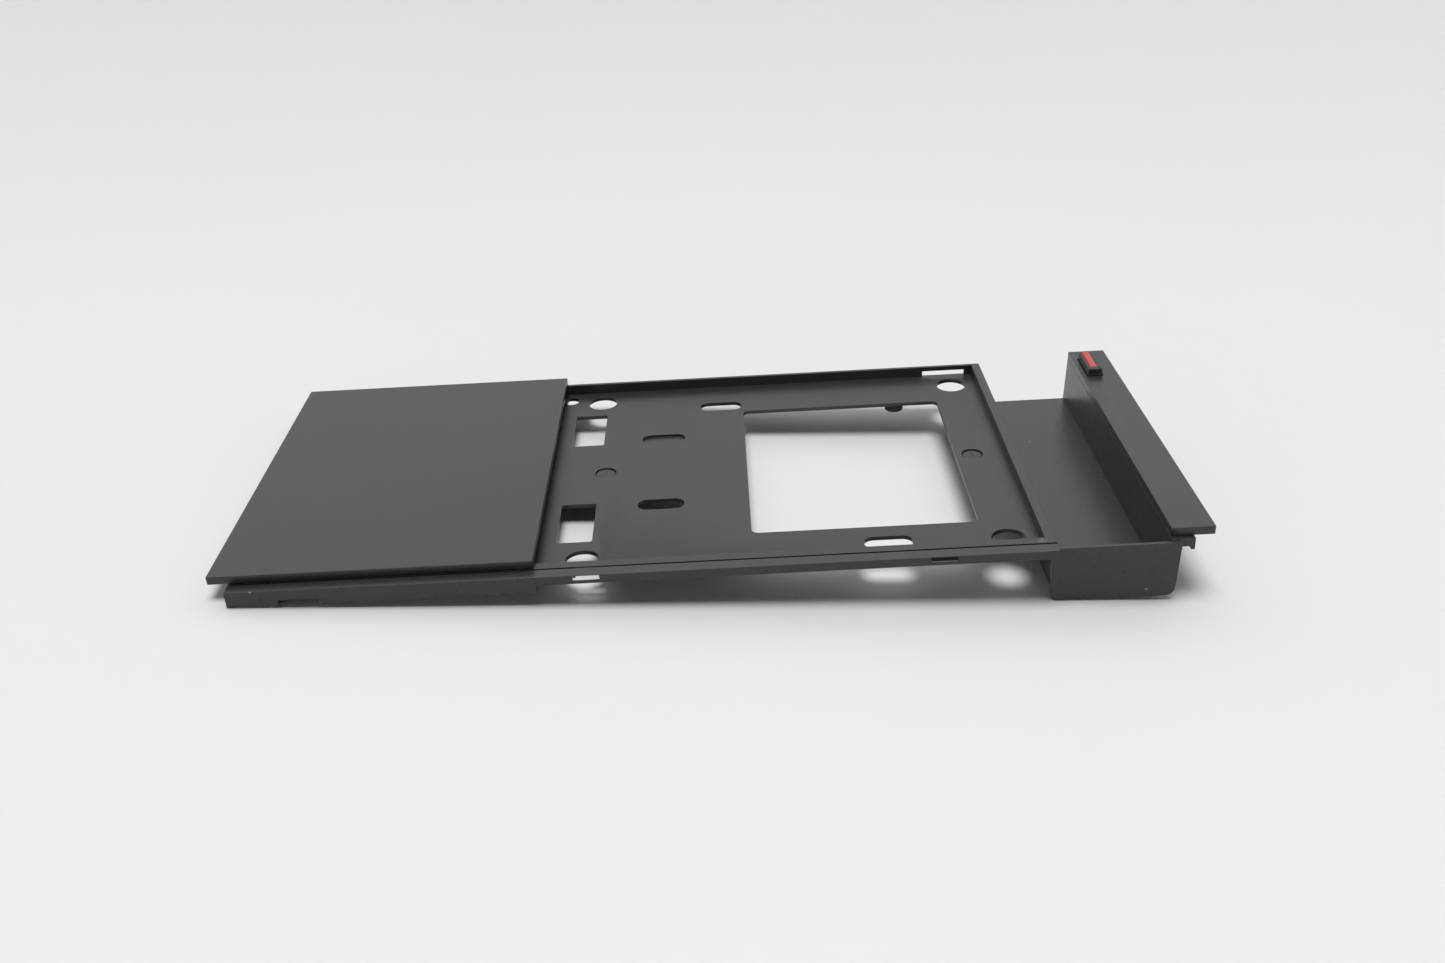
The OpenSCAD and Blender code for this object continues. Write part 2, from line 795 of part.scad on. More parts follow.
module latch_housing() {
    y0 = y_button - housing_half;
    y1 = y_button + housing_half;
    x0 = x_wall_r + 0.1;
    x1 = x_skirt_in - 0.2;
    color(dark)
        difference() {
            union() {
                block([x0, y0, z_housing], [x_skirt_r, y1, z_housing_floor]);
                for (y = [y0, y1 - housing_t])
                    block([x0, y, z_housing], [x1, y + housing_t, z_end_ledge]);
                block([x_skirt_in, y0, z_housing], [x_skirt_r, y1, z_rim - end_skirt_h]);
                // Pad that the bolt slides on
                block([x0, y_button - bolt_t / 2, z_housing],
                      [x_skirt_in + eps, y_button + bolt_t / 2, z_bolt_bottom - button_gap]);
                for (y = [y0 - ear_len, y1])
                    block([x0, y, z_end_ledge - ear_t], [x1, y + ear_len, z_end_ledge]);
                spring_places()
                    translate([0, 0, z_housing])
                        cylinder(d = spring_d - 2 * spring_wire - 0.4, h = housing_t + 3);
            }
            block([x_skirt_in - eps, y_button - bolt_t / 2 - button_gap, z_bolt_bottom - button_gap],
                  [x_skirt_r + 1, y_button + bolt_t / 2 + button_gap, z_bolt_top + button_gap]);
            housing_screw_places()
                cylinder(d = screw_d, h = far);
        }
}

module housing_screws() {
    color(steel)
        housing_screw_places()
            translate([0, 0, z_end_ledge - ear_t])
                screw(screw_d, housing_screw_len, head_d, head_h);
}

module tray_screws() {
    color(dark)
        for (x = [x_screw_l, x_screw_r])
            translate([x, y_mid, z_floor - recess_depth])
                rotate([180, 0, 0])
                    screw(floor_screw_d, z_floor - recess_depth - z_strap + screw_boss_h,
                          floor_head_d, floor_head_h);
}

module trough_screws() {
    color(steel)
        trough_screw_places()
            translate([0, 0, z_strap])
                screw(screw_d, strap_t + trough_screw_depth, head_d, head_h);
}

module rubber_bumpers() {
    y_bumpers = [y_tray_n + window_from_near - bumper_d / 2, y_far - window_from_far + bumper_d / 2];
    bumper_from_bar = 45.7;
    bumper_from_cover = 52;
    color([0.1, 0.1, 0.1])
        for (x = [x_cover_r + bumper_from_cover, x_bar_l - bumper_from_bar], y = y_bumpers)
            translate([x, y, z_under - bumper_h])
                cylinder(d = bumper_d, h = bumper_h);
}

base_frame();
cable_trough();
tray();
cover_plate();
cover_runners();
runner_screws();
rail_cap();
cap_screws();
release_button();
button_stripe();
drive_pin();
button_springs();
latch_bolt();
latch_housing();
housing_screws();
tray_screws();
trough_screws();
rubber_bumpers();
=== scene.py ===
import math

import bmesh
import bpy
import numpy as np
from bpy.props import FloatProperty, FloatVectorProperty, IntProperty, PointerProperty
from mathutils import Matrix, Vector


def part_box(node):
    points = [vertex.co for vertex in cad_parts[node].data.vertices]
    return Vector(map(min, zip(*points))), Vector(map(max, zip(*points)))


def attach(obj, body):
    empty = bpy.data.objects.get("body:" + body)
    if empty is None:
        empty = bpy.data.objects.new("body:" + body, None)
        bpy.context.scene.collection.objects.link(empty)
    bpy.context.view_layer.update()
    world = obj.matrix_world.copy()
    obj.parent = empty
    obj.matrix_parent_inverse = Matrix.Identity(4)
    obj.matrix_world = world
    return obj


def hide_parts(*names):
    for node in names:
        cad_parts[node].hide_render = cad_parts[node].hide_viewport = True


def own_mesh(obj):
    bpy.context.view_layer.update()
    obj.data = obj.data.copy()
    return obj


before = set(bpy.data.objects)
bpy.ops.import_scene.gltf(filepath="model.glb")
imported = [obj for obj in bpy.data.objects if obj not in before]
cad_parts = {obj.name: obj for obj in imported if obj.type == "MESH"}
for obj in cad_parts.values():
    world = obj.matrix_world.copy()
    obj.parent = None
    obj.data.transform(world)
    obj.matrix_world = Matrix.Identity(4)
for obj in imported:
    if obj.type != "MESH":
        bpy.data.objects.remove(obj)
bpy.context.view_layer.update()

bl_info = {
    "name": "Desk Computer Carrier",
    "version": (1, 0, 0),
    "blender": (4, 5, 0),
    "location": "3D View > Sidebar > Carrier",
    "description": "Builds a flat desk carrier for a small computer, its finishes and its stage",
    "category": "Object",
}

MM = 0.001
SMOOTH_TURN = 35.0      # edges that turn by less than this many degrees are shaded as curved
SQUARE_TURN = 62.0      # only square edges turn by more than this many degrees
FLAT_TURN = 0.4         # faces that turn by less than this many degrees are one flat face


# ---------------------------------------------------------------- sizes and colours

class CarrierShape(bpy.types.PropertyGroup):
    """Edge and detail sizes of the moulded pieces"""

    mould_edge: FloatProperty(
        name="Moulded Edge", description="Width of the softened edges of the big mouldings",
        default=0.22 * MM, min=0.0, unit="LENGTH")
    thin_edge: FloatProperty(
        name="Thin Edge", description="Width of the softened edges where a skin is thin",
        default=0.15 * MM, min=0.0, unit="LENGTH")
    plate_edge: FloatProperty(
        name="Plate Edge", description="Radius of the edges of the cover plate and cap strip",
        default=0.3 * MM, min=0.0, unit="LENGTH")
    plate_corner: FloatProperty(
        name="Plate Corner", description="Radius of the cover plate's corners seen from above",
        default=0.7 * MM, min=0.0, unit="LENGTH")
    button_corner: FloatProperty(
        name="Button Corner", description="Radius of the button's corners seen from above",
        default=0.8 * MM, min=0.0, unit="LENGTH")
    button_flare: FloatProperty(
        name="Button Flare", description="How far the button spreads at its foot",
        default=0.28 * MM, min=0.0, unit="LENGTH")
    wire_size: FloatProperty(
        name="Spring Wire", description="Thickness of the button springs' wire",
        default=0.45 * MM, min=0.0, unit="LENGTH")
    wire_turns: IntProperty(
        name="Spring Turns", description="Turns of each button spring", default=10, min=3)
    thread_pitch: FloatProperty(
        name="Thread Pitch", description="Pitch of the screws' threads",
        default=1.1 * MM, min=0.0, unit="LENGTH")


class CarrierFinish(bpy.types.PropertyGroup):
    """Colours and surface of the finishes"""

    mould_colour: FloatVectorProperty(
        name="Moulding", description="Colour of the base, tray and trough",
        subtype="COLOR", size=3, default=(0.0240, 0.0246, 0.0262), min=0.0, max=1.0)
    plate_colour: FloatVectorProperty(
        name="Plate", description="Colour of the cover plate and cap strip",
        subtype="COLOR", size=3, default=(0.0245, 0.0262, 0.0292), min=0.0, max=1.0)
    button_colour: FloatVectorProperty(
        name="Button", description="Colour of the button",
        subtype="COLOR", size=3, default=(0.012, 0.012, 0.013), min=0.0, max=1.0)
    stripe_colour: FloatVectorProperty(
        name="Stripe", description="Colour of the inlay on the button",
        subtype="COLOR", size=3, default=(0.55, 0.035, 0.03), min=0.0, max=1.0)
    grain_size: FloatProperty(
        name="Grain Size", description="Size of one cell of the moulded texture",
        default=0.35 * MM, min=0.01 * MM, unit="LENGTH")
    grain_depth: FloatProperty(
        name="Grain Depth", description="Depth of the moulded texture",
        default=0.035 * MM, min=0.0, unit="LENGTH")


class CarrierStage(bpy.types.PropertyGroup):
    """Camera, table and light"""

    lens: FloatProperty(
        name="Lens", description="Focal length on a 36 mm wide sensor", default=34.69, min=1.0)
    camera_place: FloatVectorProperty(
        name="Camera Place", description="Where the camera stands", subtype="TRANSLATION",
        unit="LENGTH", size=3, default=(0.01253, -0.59954, 0.34334))
    camera_down: FloatProperty(
        name="Camera Down", description="How far the camera looks down", subtype="ANGLE",
        default=math.radians(28.727))
    camera_pan: FloatProperty(
        name="Camera Pan", description="How far the camera looks to the right", subtype="ANGLE",
        default=math.radians(-0.572))
    camera_roll: FloatProperty(
        name="Camera Roll", description="Turn of the camera about its own axis", subtype="ANGLE",
        default=math.radians(-3.238))
    wall_light: FloatProperty(
        name="Back Light", description="Brightness of the room behind the table", default=1.08,
        min=0.0)
    room_light: FloatProperty(
        name="Room Light", description="Brightness of the room before the table", default=0.03,
        min=0.0)
    overhead: FloatProperty(
        name="Overhead Light", description="Strength of the softbox over the table", default=2.15,
        min=0.0)
    overhead_spread: FloatProperty(
        name="Overhead Spread", description="Angle that the softbox fills, which softens shadows",
        subtype="ANGLE", default=math.radians(30))
    table_colour: FloatVectorProperty(
        name="Table", description="Colour of the table top", subtype="COLOR", size=3,
        default=(0.80, 0.795, 0.80), min=0.0, max=1.0)


def shape():
    """The edge and detail sizes set in the sidebar."""
    return bpy.context.scene.carrier_shape


def finish():
    """The finish settings from the sidebar."""
    return bpy.context.scene.carrier_finish


def stage():
    """The camera, table and light settings from the sidebar."""
    return bpy.context.scene.carrier_stage


# ---------------------------------------------------------------- meshes

def link_mesh(name, vertices, faces, smooth=True):
    """Makes a mesh object, at the origin, from a vertex array and a list of faces."""
    mesh = bpy.data.meshes.new(name)
    mesh.from_pydata(np.asarray(vertices, float).reshape(-1, 3).tolist(), [], faces)
    mesh.polygons.foreach_set("use_smooth", [smooth] * len(mesh.polygons))
    mesh.update()
    piece = bpy.data.objects.new(name, mesh)
    bpy.context.scene.collection.objects.link(piece)
    return piece


def settle(piece, body, slot, finish_material, *nodes):
    """Gives a finished piece its material and its body, and hides the CAD nodes it stands for. The
    slot is not used.
    """
    piece.data.materials.clear()
    piece.data.materials.append(finish_material)
    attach(piece, body)
    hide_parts(*nodes)
    return piece


def sharpen(piece, degrees=SMOOTH_TURN):
    """Marks the edges that turn by more than an angle as sharp, so that flats stay flat."""
    bm = bmesh.new()
    bm.from_mesh(piece.data)
    limit = math.radians(degrees)
    for edge in bm.edges:
        edge.smooth = not (edge.is_manifold and edge.calc_face_angle(0.0) > limit)
    bm.to_mesh(piece.data)
    bm.free()
    return piece


def loft_faces(rows, around, first=0, capped=True):
    """Quads between closed rings stacked one on another, with a flat face on each end."""
    i = np.arange(rows - 1)[:, None]
    j = np.arange(around)[None, :]
    k = (j + 1) % around
    row, above = i * around, (i + 1) * around
    quads = np.stack([row + j, row + k, above + k, above + j], -1)
    faces = (quads.reshape(-1, 4) + first).tolist()
    if capped:
        faces.append((np.arange(around)[::-1] + first).tolist())
        faces.append((np.arange(around) + first + (rows - 1) * around).tolist())
    return faces


def slab_rings(lo, hi, corner, profile):
    """Rings of a slab: a round-cornered rectangle, carried up through a list of (inset, height).

    A point of a ring is its corner's centre plus (corner radius - inset) times the unit vector of
    the corner's arc, so that every ring keeps the same number of points.
    """
    steps = 7
    turn = np.linspace(0.0, math.pi / 2, steps)
    angle = (np.arange(4)[:, None] * math.pi / 2 + turn).ravel()
    sign = np.repeat(np.array([[1, 1], [-1, 1], [-1, -1], [1, -1]], float), steps, axis=0)
    lo, hi = np.array(lo, float), np.array(hi, float)
    half = (hi[:2] - lo[:2]) / 2 - corner
    centre = (hi[:2] + lo[:2]) / 2 + sign * half
    inset, height = np.array(profile, float).T
    out = np.stack([np.cos(angle), np.sin(angle)], -1)
    plan = centre[None] + (corner - inset)[:, None, None] * out[None]
    return np.dstack([plan, np.broadcast_to(height[:, None], plan.shape[:2])])


def round_profile(z0, z1, ease, steps=4):
    """(inset, height) from the bottom face to the top face of a slab, with quarter-round edges."""
    a = np.linspace(0.0, math.pi / 2, steps)
    low = np.stack([ease * (1 - np.sin(a)), z0 + ease * (1 - np.cos(a))], -1)
    high = np.stack([ease * (1 - np.cos(a)), z1 - ease * (1 - np.sin(a))], -1)
    flat = 1.6 * ease
    return np.vstack([[[flat, z0]], low, high, [[flat, z1]]])


def lathe(profile, steps=32):
    """Rings from a list of (radius, height), turned round the Z axis: x = r cos t, y = r sin t."""
    r, z = np.array(profile, float).T
    t = np.arange(steps) * 2 * math.pi / steps
    x = r[:, None] * np.cos(t)
    y = r[:, None] * np.sin(t)
    return np.dstack([x, y, np.broadcast_to(z[:, None], x.shape)])


def join_rings(parts):
    """One vertex array and face list from several stacks of rings."""
    vertices, faces, count = [], [], 0
    for rings in parts:
        rows, around = rings.shape[:2]
        vertices.append(rings.reshape(-1, 3))
        faces += loft_faces(rows, around, count)
        count += rows * around
    return np.vstack(vertices), faces


def solid_boxes(node):
    """(lowest corner, highest corner) of each solid in a CAD node, in order along X then Y."""
    bm = bmesh.new()
    bm.from_mesh(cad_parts[node].data)
    bmesh.ops.remove_doubles(bm, verts=bm.verts, dist=1e-6)
    left, boxes = set(bm.verts), []
    while left:
        group, edge = set(), [left.pop()]
        while edge:
            vertex = edge.pop()
            group.add(vertex)
            for e in vertex.link_edges:
                other = e.other_vert(vertex)
                if other in left:
                    left.discard(other)
                    edge.append(other)
        co = np.array([v.co for v in group])
        boxes.append((co.min(0), co.max(0)))
    bm.free()
    return sorted(boxes, key=lambda b: (round(b[0][0], 4), round(b[0][1], 4)))


def eased(name, node, width, limit=SMOOTH_TURN, merge=2e-6, strips=()):
    """A copy of a CAD node with its flat faces made whole and its sharp edges softened.

    A flat face with holes can't be one polygon, so the piece is first cut at the given places
    along X, and each strip's faces are made whole on their own.
    """
    bm = bmesh.new()
    bm.from_mesh(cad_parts[node].data)
    bmesh.ops.remove_doubles(bm, verts=bm.verts, dist=merge)
    bmesh.ops.dissolve_degenerate(bm, edges=bm.edges, dist=1e-6)
    for x in strips:
        everything = [*bm.verts, *bm.edges, *bm.faces]
        cut = bmesh.ops.bisect_plane(bm, geom=everything, dist=1e-6,
                                     plane_co=(x, 0, 0), plane_no=(1, 0, 0))
        for part in cut["geom_cut"]:
            if isinstance(part, bmesh.types.BMEdge):
                part.seam = True
    bmesh.ops.dissolve_limit(bm, angle_limit=math.radians(FLAT_TURN), verts=bm.verts,
                             edges=bm.edges, delimit={"SEAM"})
    for edge in bm.edges:
        edge.seam = False
    mesh = bpy.data.meshes.new(name)
    bm.to_mesh(mesh)
    bm.free()
    mesh.polygons.foreach_set("use_smooth", [True] * len(mesh.polygons))
    piece = bpy.data.objects.new(name, mesh)
    bpy.context.scene.collection.objects.link(piece)
    sharpen(piece)
    soft = piece.modifiers.new("Soft edges", "BEVEL")
    soft.width = width
    soft.segments = 2
    soft.limit_method = "ANGLE"
    soft.angle_limit = math.radians(limit)
    soft.harden_normals = True
    soft.use_clamp_overlap = False
    soft.miter_outer = "MITER_ARC"
    return kept_in_box(piece, node)


def kept_in_box(piece, node):
    """Applies a piece's modifiers, and holds every vertex inside the box of its CAD node."""
    ready = piece.evaluated_get(bpy.context.evaluated_depsgraph_get())
    plain = piece.data
    piece.data = bpy.data.meshes.new_from_object(ready)
    piece.modifiers.clear()
    bpy.data.meshes.remove(plain)
    count = len(piece.data.vertices)
    place = np.zeros(count * 3)
    piece.data.vertices.foreach_get("co", place)
    lo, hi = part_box(node)
    place = np.clip(place.reshape(-1, 3), np.array(lo), np.array(hi))
    piece.data.vertices.foreach_set("co", place.ravel())
    piece.data.update()
    return piece


# ---------------------------------------------------------------- finishes

def group_socket(group, name, direction, kind="NodeSocketFloat", value=None):
    """Adds a named socket to a node group."""
    socket = group.interface.new_socket(name=name, in_out=direction, socket_type=kind)
    if value is not None:
        socket.default_value = value
    return socket


def add(tree, kind, **values):
    """A new node with its properties and input values set by name."""
    node = tree.nodes.new(kind)
    for key, value in values.items():
        if hasattr(node, key):
            setattr(node, key, value)
        else:
            node.inputs[key.replace("_", " ")].default_value = value
    return node


def map_range(tree, from_min, from_max, to_min, to_max):
    """A Map Range node, which carries one span of values onto another and holds its ends."""
    node = tree.nodes.new("ShaderNodeMapRange")
    for key, value in (("From Min", from_min), ("From Max", from_max),
                       ("To Min", to_min), ("To Max", to_max)):
        node.inputs[key].default_value = value
    return node


def moulded_texture():
    """Node group: the fine pitted skin of a moulding, with slow drifts of tone and gloss."""
    name = "Moulded Texture"
    if name in bpy.data.node_groups:
        return bpy.data.node_groups[name]
    g = bpy.data.node_groups.new(name, "ShaderNodeTree")
    group_socket(g, "Cell Size", "INPUT", value=0.0003)
    group_socket(g, "Height", "OUTPUT")
    group_socket(g, "Tone", "OUTPUT")
    group_socket(g, "Gloss", "OUTPUT")
    start = g.nodes.new("NodeGroupInput")
    end = g.nodes.new("NodeGroupOutput")
    place = g.nodes.new("ShaderNodeTexCoord")
    per_cell = add(g, "ShaderNodeMath", operation="DIVIDE")
    per_cell.inputs[0].default_value = 1.0
    fine = add(g, "ShaderNodeTexNoise", Detail=3.0, Roughness=0.62)
    coarse = add(g, "ShaderNodeTexNoise", Scale=260.0, Detail=4.0, Roughness=0.6)
    drift = add(g, "ShaderNodeTexNoise", Scale=14.0, Detail=5.0, Roughness=0.55)
    join = add(g, "ShaderNodeMath", operation="MULTIPLY_ADD")
    join.inputs[1].default_value = 0.35
    g.links.new(start.outputs["Cell Size"], per_cell.inputs[1])
    g.links.new(per_cell.outputs[0], fine.inputs["Scale"])
    for noise in (fine, coarse, drift):
        g.links.new(place.outputs["Object"], noise.inputs["Vector"])
    g.links.new(coarse.outputs["Fac"], join.inputs[0])
    g.links.new(fine.outputs["Fac"], join.inputs[2])
    g.links.new(join.outputs[0], end.inputs["Height"])
    g.links.new(drift.outputs["Fac"], end.inputs["Tone"])
    g.links.new(coarse.outputs["Fac"], end.inputs["Gloss"])
    return g


def painted_edge_highlight():
    """Node group: painted highlight on the softened edges, where the rounded normal leaves the flat
    one, broken by noise.
    """
    name = "Edge Wear"
    if name in bpy.data.node_groups:
        return bpy.data.node_groups[name]
    g = bpy.data.node_groups.new(name, "ShaderNodeTree")
    group_socket(g, "Reach", "INPUT", value=0.0004)
    group_socket(g, "Amount", "INPUT", value=0.5)
    group_socket(g, "Mask", "OUTPUT")
    start = g.nodes.new("NodeGroupInput")
    end = g.nodes.new("NodeGroupOutput")
    place = g.nodes.new("ShaderNodeTexCoord")
    soft = g.nodes.new("ShaderNodeBevel")
    soft.samples = 4
    flat = g.nodes.new("ShaderNodeNewGeometry")
    turn = add(g, "ShaderNodeVectorMath", operation="DOT_PRODUCT")
    # This mask marks where the painted edge highlight goes.
    edge = map_range(g, 0.995, 0.90, 0.0, 1.0)
    rub = add(g, "ShaderNodeTexNoise", Scale=90.0, Detail=6.0, Roughness=0.7)
    broken = map_range(g, 0.42, 0.62, 0.15, 1.0)
    both = add(g, "ShaderNodeMath", operation="MULTIPLY")
    scaled = add(g, "ShaderNodeMath", operation="MULTIPLY")
    g.links.new(start.outputs["Reach"], soft.inputs["Radius"])
    g.links.new(soft.outputs["Normal"], turn.inputs[0])
    g.links.new(flat.outputs["Normal"], turn.inputs[1])
    g.links.new(turn.outputs["Value"], edge.inputs["Value"])
    g.links.new(place.outputs["Object"], rub.inputs["Vector"])
    g.links.new(rub.outputs["Fac"], broken.inputs["Value"])
    g.links.new(edge.outputs["Result"], both.inputs[0])
    g.links.new(broken.outputs["Result"], both.inputs[1])
    g.links.new(both.outputs[0], scaled.inputs[0])
    g.links.new(start.outputs["Amount"], scaled.inputs[1])
    g.links.new(scaled.outputs[0], end.inputs["Mask"])
    return g


def dust_specks():
    """Node group: sparse pale specks of dust, as the middles of a few cells picked at random."""
    name = "Dust Specks"
    if name in bpy.data.node_groups:
        return bpy.data.node_groups[name]
    g = bpy.data.node_groups.new(name, "ShaderNodeTree")
    group_socket(g, "Amount", "INPUT", value=0.2)
    group_socket(g, "Mask", "OUTPUT")
    start = g.nodes.new("NodeGroupInput")
    end = g.nodes.new("NodeGroupOutput")
    place = g.nodes.new("ShaderNodeTexCoord")
    cell = add(g, "ShaderNodeTexVoronoi", Scale=160.0, Randomness=1.0)
    size = map_range(g, 0.03, 0.012, 0.0, 1.0)
    pick = add(g, "ShaderNodeMath", operation="GREATER_THAN")
    pick.inputs[1].default_value = 0.8
    both = add(g, "ShaderNodeMath", operation="MULTIPLY")
    scaled = add(g, "ShaderNodeMath", operation="MULTIPLY")
    split = g.nodes.new("ShaderNodeSeparateColor")
    g.links.new(place.outputs["Object"], cell.inputs["Vector"])
    g.links.new(cell.outputs["Distance"], size.inputs["Value"])
    g.links.new(cell.outputs["Color"], split.inputs["Color"])
    g.links.new(split.outputs[0], pick.inputs[0])
    g.links.new(size.outputs["Result"], both.inputs[0])
    g.links.new(pick.outputs[0], both.inputs[1])
    g.links.new(both.outputs[0], scaled.inputs[0])
    g.links.new(start.outputs["Amount"], scaled.inputs[1])
    g.links.new(scaled.outputs[0], end.inputs["Mask"])
    return g


def scuff_mark():
    """Node group: one pale rubbed spot, strongest at its place and torn by noise along X."""
    name = "Scuff Mark"
    if name in bpy.data.node_groups:
        return bpy.data.node_groups[name]
    g = bpy.data.node_groups.new(name, "ShaderNodeTree")
    group_socket(g, "Place", "INPUT", "NodeSocketVector")
    group_socket(g, "Reach", "INPUT", value=0.002)
    group_socket(g, "Amount", "INPUT", value=0.5)
    group_socket(g, "Mask", "OUTPUT")
    start = g.nodes.new("NodeGroupInput")
    end = g.nodes.new("NodeGroupOutput")
    place = g.nodes.new("ShaderNodeTexCoord")
    away = add(g, "ShaderNodeVectorMath", operation="DISTANCE")
    share = add(g, "ShaderNodeMath", operation="DIVIDE")
    fade = map_range(g, 1.0, 0.2, 0.0, 1.0)
    fade.interpolation_type = "SMOOTHSTEP"
    squeeze = g.nodes.new("ShaderNodeMapping")
    squeeze.inputs["Scale"].default_value = (0.35, 1.0, 1.0)
    torn = add(g, "ShaderNodeTexNoise", Scale=1500.0, Detail=4.0, Roughness=0.6)
    cut = map_range(g, 0.45, 0.6, 0.0, 1.0)
    both = add(g, "ShaderNodeMath", operation="MULTIPLY")
    scaled = add(g, "ShaderNodeMath", operation="MULTIPLY")
    g.links.new(place.outputs["Object"], away.inputs[0])
    g.links.new(start.outputs["Place"], away.inputs[1])
    g.links.new(away.outputs["Value"], share.inputs[0])
    g.links.new(start.outputs["Reach"], share.inputs[1])
    g.links.new(share.outputs[0], fade.inputs["Value"])
    g.links.new(place.outputs["Object"], squeeze.inputs["Vector"])
    g.links.new(squeeze.outputs["Vector"], torn.inputs["Vector"])
    g.links.new(torn.outputs["Fac"], cut.inputs["Value"])
    g.links.new(fade.outputs["Result"], both.inputs[0])
    g.links.new(cut.outputs["Result"], both.inputs[1])
    g.links.new(both.outputs[0], scaled.inputs[0])
    g.links.new(start.outputs["Amount"], scaled.inputs[1])
    g.links.new(scaled.outputs[0], end.inputs["Mask"])
    return g


def group_node(tree, group):
    """Places a node group in a material."""
    node = tree.nodes.new("ShaderNodeGroup")
    node.node_tree = group
    return node


def new_material(name):
    """An empty node material with its shader joined to the output."""
    material = bpy.data.materials.new(name)
    material.use_nodes = True
    tree = material.node_tree
    tree.nodes.clear()
    shader = tree.nodes.new("ShaderNodeBsdfPrincipled")
    out = tree.nodes.new("ShaderNodeOutputMaterial")
    tree.links.new(shader.outputs["BSDF"], out.inputs["Surface"])
    return material, tree, shader


def colour_mix(tree, low, high):
    """A colour Mix node between two colours; None leaves a side to be joined."""
    node = tree.nodes.new("ShaderNodeMix")
    node.data_type = "RGBA"
    for socket, colour in (("A", low), ("B", high)):
        if colour is not None:
            node.inputs[socket].default_value = (*[float(v) for v in colour], 1.0)
    return node


def moulded_plastic(name, colour, roughness, spread, depth, cell, dust=0.25, edge_highlight=0.3, marks=()):
    """Dark moulded plastic: pitted and speckled skin, drifting tone and gloss, a painted highlight
    on the softened edges, which are also made glossier, dust and a few scuffs, each (x, y, z, reach,
    amount)."""
    if name in bpy.data.materials:
        return bpy.data.materials[name]
    material, tree, shader = new_material(name)
    c = np.array(colour)
    skin = group_node(tree, moulded_texture())
    skin.inputs["Cell Size"].default_value = cell
    tone = colour_mix(tree, c * 0.86, c * 1.16)
    speckle = colour_mix(tree, None, c * 2.8)
    pit = map_range(tree, 0.62, 1.0, 0.0, 0.5)
    tree.links.new(skin.outputs["Tone"], tone.inputs["Factor"])
    tree.links.new(skin.outputs["Height"], pit.inputs["Value"])
    tree.links.new(pit.outputs["Result"], speckle.inputs["Factor"])
    tree.links.new(tone.outputs["Result"], speckle.inputs["A"])
    edge_highlight_node = group_node(tree, painted_edge_highlight())
    edge_highlight_node.inputs["Amount"].default_value = edge_highlight
    specks = group_node(tree, dust_specks())
    specks.inputs["Amount"].default_value = dust
    # Painted highlight: the softened edges are mixed towards a lighter grey, which stands in for
    # light catching them. The same mask also makes the edges glossier.
    layers = [(edge_highlight_node, np.minimum(c * 3.2 + 0.02, 1.0)), (specks, (0.50, 0.49, 0.47))]
    for x, y, z, reach, amount in marks:
        mark = group_node(tree, scuff_mark())
        mark.inputs["Place"].default_value = (x, y, z)
        mark.inputs["Reach"].default_value = reach
        mark.inputs["Amount"].default_value = amount
        layers.append((mark, (0.42, 0.42, 0.41)))
    below = speckle
    for mask, over in layers:
        layer = colour_mix(tree, None, over)
        tree.links.new(below.outputs["Result"], layer.inputs["A"])
        tree.links.new(mask.outputs["Mask"], layer.inputs["Factor"])
        below = layer
    tree.links.new(below.outputs["Result"], shader.inputs["Base Color"])
    rough = map_range(tree, 0.3, 0.7, roughness - spread, roughness + spread)
    polished = add(tree, "ShaderNodeMath", operation="MULTIPLY_ADD")
    polished.inputs[1].default_value = -0.12
    bump = tree.nodes.new("ShaderNodeBump")
    bump.inputs["Distance"].default_value = depth
    tree.links.new(skin.outputs["Gloss"], rough.inputs["Value"])
    tree.links.new(edge_highlight_node.outputs["Mask"], polished.inputs[0])
    tree.links.new(rough.outputs["Result"], polished.inputs[2])
    tree.links.new(polished.outputs[0], shader.inputs["Roughness"])
    tree.links.new(skin.outputs["Height"], bump.inputs["Height"])
    tree.links.new(bump.outputs["Normal"], shader.inputs["Normal"])
    return material


def mould_black():
    """The black of the base, trough and latch housing, with three scuffs."""
    f = finish()
    ledge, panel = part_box("base_frame"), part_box("cable_trough")
    marks = (
        (ledge[0].x + 11.5 * MM, ledge[0].y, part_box("rail_cap")[0].z, 1.1 * MM, 0.9),
        (panel[1].x - 20 * MM, panel[0].y, panel[0].z + 3.4 * MM, 0.9 * MM, 1.0),
        (panel[0].x + 46 * MM, panel[1].y - 50 * MM, panel[0].z + 2.7 * MM, 1.0 * MM, 0.6),
    )
    return moulded_plastic("moulded_black", f.mould_colour, 0.30, 0.03, f.grain_depth,
                           f.grain_size, marks=marks)


def tray_black():
    """The tray's black, a little duller, rubbed at its near right corner."""
    f = finish()
    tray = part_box("tray")
    marks = ((tray[1].x - 6 * MM, tray[0].y + 9 * MM, tray[1].z, 2.6 * MM, 0.5),)
    return moulded_plastic("tray_black", np.array(f.mould_colour) * 1.04, 0.35, 0.03,
                           f.grain_depth, f.grain_size, marks=marks)


def plate_satin():
    """The satin grey-black of the cover plate and cap strip."""
    f = finish()
    return moulded_plastic("plate_satin", f.plate_colour, 0.33, 0.025, f.grain_depth,
                           f.grain_size * 0.8, dust=0.2, edge_highlight=0.12)


def button_black():
    """The button's deeper black."""
    f = finish()
    return moulded_plastic("button_black", f.button_colour, 0.40, 0.03, f.grain_depth * 0.6,
                           f.grain_size * 0.7, dust=0.1, edge_highlight=0.35)


def stripe_red():
    """The red of the button's inlay."""
    f = finish()
    return moulded_plastic("stripe_red", f.stripe_colour, 0.38, 0.02, f.grain_depth * 0.4,
                           f.grain_size * 0.7, dust=0.0, edge_highlight=0.0)


def glide_grey():
    """The slippery dark grey of the runners and bolt."""
    f = finish()
    return moulded_plastic("glide_grey", (0.05, 0.05, 0.052), 0.45, 0.03, f.grain_depth * 0.5,
                           f.grain_size, dust=0.1, edge_highlight=0.2)


